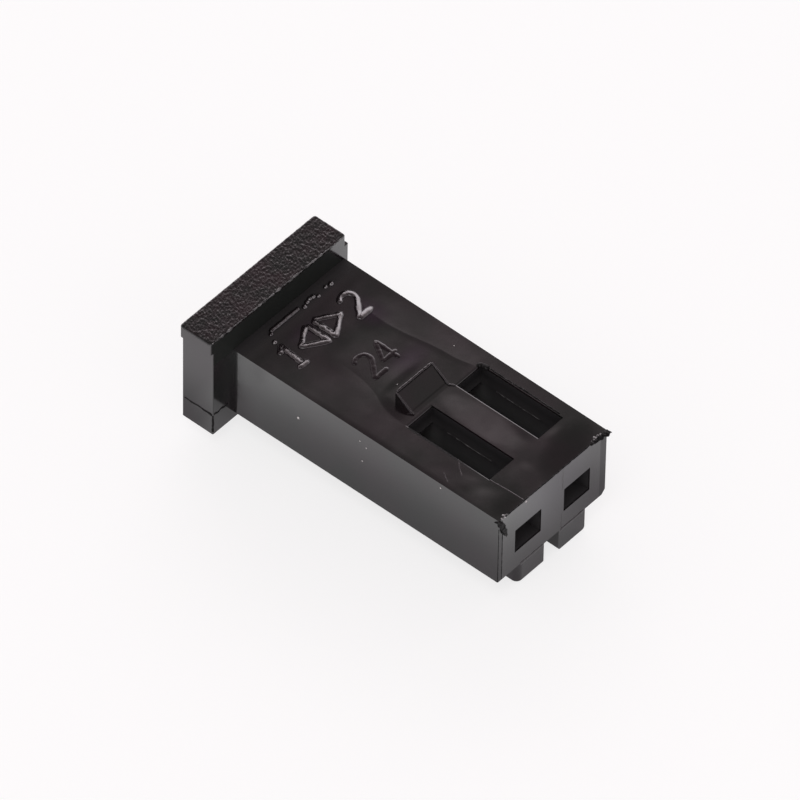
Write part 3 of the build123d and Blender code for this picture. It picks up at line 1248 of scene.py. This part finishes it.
class CONNECTOR_OT_studio(bpy.types.Operator):
    """Makes the floor, the soft light and the camera"""

    bl_idname = "connector.studio"
    bl_label = "Build Studio"

    def execute(self, context):
        settings = context.scene.connector_studio
        half, level = settings.floor_size / 2, CAD_BOX[0].z - FLOOR_GAP * MM
        mesh = bpy.data.meshes.new("floor")
        corners = ((-half, -half, level), (half, -half, level), (half, half, level), (-half, half, level))
        mesh.from_pydata(corners, [], [(0, 1, 2, 3)])
        mesh.materials.append(self.floor_material())
        linked("floor", mesh)
        self.sky(context, settings)
        self.lamp(settings)
        self.camera(context, settings)
        context.scene.view_settings.view_transform = "Standard"
        return {"FINISHED"}

    def floor_material(self):
        """White paper, which the camera sees washed out except for a trace of shadow, and which
        reflections see glowing with a painted shadow round the housing.
        """
        material, where = new_material("Pale studio floor")
        tree = material.node_tree
        rays = put(tree, "ShaderNodeLightPath").outputs
        mirrored = highest(rays["Is Glossy Ray"], rays["Is Transmission Ray"])
        plain = put(tree, "ShaderNodeBsdfDiffuse", {"Color": (0.8, 0.8, 0.8)})
        # In reflections the floor glows, with a painted shadow round the housing
        bright = self.glowing(tree, (0.50, 0.50, 0.52), self.spread(tree, where))
        seen = self.glowing(tree, (0.30, 0.30, 0.30), 0.74)
        mixed = put(tree, "ShaderNodeMixShader", {0: mirrored, 1: plain, 2: bright})
        mixed = put(tree, "ShaderNodeMixShader", {0: rays["Is Camera Ray"], 1: mixed, 2: seen})
        return surface(material, mixed)

    def glowing(self, tree, colour, glow):
        """Paper of a colour that also gives off some light."""
        light = put(tree, "ShaderNodeEmission", {"Color": (1.0, 1.0, 1.0), "Strength": glow})
        paper = put(tree, "ShaderNodeBsdfDiffuse", {"Color": colour})
        return put(tree, "ShaderNodeAddShader", {0: light, 1: paper})

    def spread(self, tree, where):
        """Glow of the floor as reflections see it: painted shadow near the housing, past its wire end,
        left of the collar and at its right front, and painted light ahead of it and beside its rear half.
        """
        x, y, _ = split(where)
        aside = calc("SUBTRACT", calc("ABSOLUTE", x), 2.85)
        along = calc("SUBTRACT", calc("ABSOLUTE", calc("SUBTRACT", y, 6.7)), 6.7)
        apart = {"X": highest(aside, 0.0), "Y": highest(along, 0.0)}
        apart = vector_calc("LENGTH", put(tree, "ShaderNodeCombineXYZ", apart))
        near = levels(product(apart, 0.25), FLOOR_LEVELS)
        behind = mapped(y, 13.2, 14.3, 1.0, 0.62, smooth=True)
        beyond = mapped(y, 7.0, 12.5, 1.0, 1.22, smooth=True)
        ahead = mapped(y, -0.2, -1.2, 1.0, 1.42)
        right = mapped(x, 0.5, 3.4, 1.0, mapped(y, 0.0, -0.6, 1.0, 0.52), smooth=True)
        shaded = within((x, -6.6, -4.6, 0.0, 1.0, True), (y, 12.6, 13.2))
        share = calc("MULTIPLY_ADD", shaded, -0.55, 1.0)
        return product(near, behind, beyond, ahead, right, share)

    def sky(self, context, settings):
        """A bright horizon that fades overhead, a broad backlight, a dark card and a gleam."""
        world = bpy.data.worlds.new("Soft studio")
        context.scene.world = world
        world.use_nodes = True
        tree = world.node_tree
        tree.nodes.clear()
        towards = put(tree, "ShaderNodeTexCoord").outputs["Generated"]
        height = split(towards)["Z"]
        aside, before, between = [
            vector_calc("DOT_PRODUCT", towards, way)
            for way in (TO_BACKLIGHT, TO_DARK_CARD, TO_GLEAM)
        ]
        behind = mapped(aside, 0.84, 0.97, 0.0, settings.backlight, smooth=True)
        behind = product(behind, mapped(height, 0.62, 0.50, smooth=True))
        shade = mapped(before, 0.92, 0.985, 1.0, settings.dark_card, smooth=True)
        gleam = mapped(between, 0.93, 0.99, 0.0, GLEAM, smooth=True)
        above = product(levels(height, SKY_LEVELS), shade)
        tint = mapped(height, 0.25, 0.65)
        tint = blended(tint, (1.0, 0.93, 0.98), (1.0, 0.87, 0.895))
        values = {"Color": tint, "Strength": total(above, behind, gleam)}
        background = put(tree, "ShaderNodeBackground", values)
        put(tree, "ShaderNodeOutputWorld", {"Surface": background})

    def lamp(self, settings):
        """One soft lamp over the housing."""
        lamp = bpy.data.lights.new("soft lamp", "AREA")
        lamp.shape = "DISK"
        lamp.size = LAMP_SIZE
        lamp.energy = settings.lamp_power
        over = linked("soft lamp", lamp)
        over.location = LAMP_PLACE
        over.rotation_mode = "QUATERNION"
        over.rotation_quaternion = over.location.to_track_quat("Z", "Y")

    def camera(self, context, settings):
        """The camera of the photograph."""
        azimuth, elevation = settings.azimuth, settings.elevation
        level, height = math.cos(elevation), math.sin(elevation)
        back = Vector((math.sin(azimuth) * level, -math.cos(azimuth) * level, height))
        right = (-back).cross(Vector((0, 0, 1))).normalized()
        up = right.cross(-back)
        cosine, sine = math.cos(settings.roll), math.sin(settings.roll)
        right, up = cosine * right + sine * up, cosine * up - sine * right
        data = bpy.data.cameras.new("photo camera")
        data.lens = settings.focal_length
        data.sensor_width = SENSOR_WIDTH
        data.clip_start = settings.distance * 0.5
        data.clip_end = settings.distance * 10.0
        camera = linked("photo camera", data)
        turned = Matrix((right, up, back)).transposed().to_4x4()
        turned.translation = Vector(settings.aim) + settings.distance * back
        camera.matrix_world = turned
        context.scene.camera = camera


PANEL_STEPS = (
    "connector.studio",
    "connector.housing",
    "connector.cap_texture",
    "connector.roof_marks",
    "connector.flash",
    "connector.dust",
)


class CONNECTOR_PT_panel(bpy.types.Panel):
    """Lists the steps that dress the housing"""

    bl_idname = "CONNECTOR_PT_panel"
    bl_label = "Connector Housing"
    bl_space_type = "VIEW_3D"
    bl_region_type = "UI"
    bl_category = "Connector"

    def draw(self, context):
        column = self.layout.column()
        for name in PANEL_STEPS:
            column.operator(name)
        for group in SETTINGS:
            box = self.layout.box()
            values = getattr(context.scene, group)
            for key in values.bl_rna.properties.keys():
                if key not in ("rna_type", "name"):
                    box.prop(values, key)


SETTINGS = {
    "connector_finish": FinishSettings,
    "connector_cap": CapSettings,
    "connector_marks": MarkSettings,
    "connector_flash": FlashSettings,
    "connector_studio": StudioSettings,
}
CLASSES = (
    *SETTINGS.values(),
    CONNECTOR_OT_housing,
    CONNECTOR_OT_cap,
    CONNECTOR_OT_marks,
    CONNECTOR_OT_flash,
    CONNECTOR_OT_dust,
    CONNECTOR_OT_studio,
    CONNECTOR_PT_panel,
)


def register():
    for entry in CLASSES:
        bpy.utils.register_class(entry)
    for name, group in SETTINGS.items():
        setattr(bpy.types.Scene, name, bpy.props.PointerProperty(type=group))


def unregister():
    for name in SETTINGS:
        delattr(bpy.types.Scene, name)
    for entry in reversed(CLASSES):
        bpy.utils.unregister_class(entry)


def main():
    register()
    bpy.ops.connector.studio()
    bpy.ops.connector.housing()
    bpy.ops.connector.cap_texture()
    bpy.ops.connector.roof_marks()
    bpy.ops.connector.flash()
    bpy.ops.connector.dust()


if __name__ == "__main__":
    main()
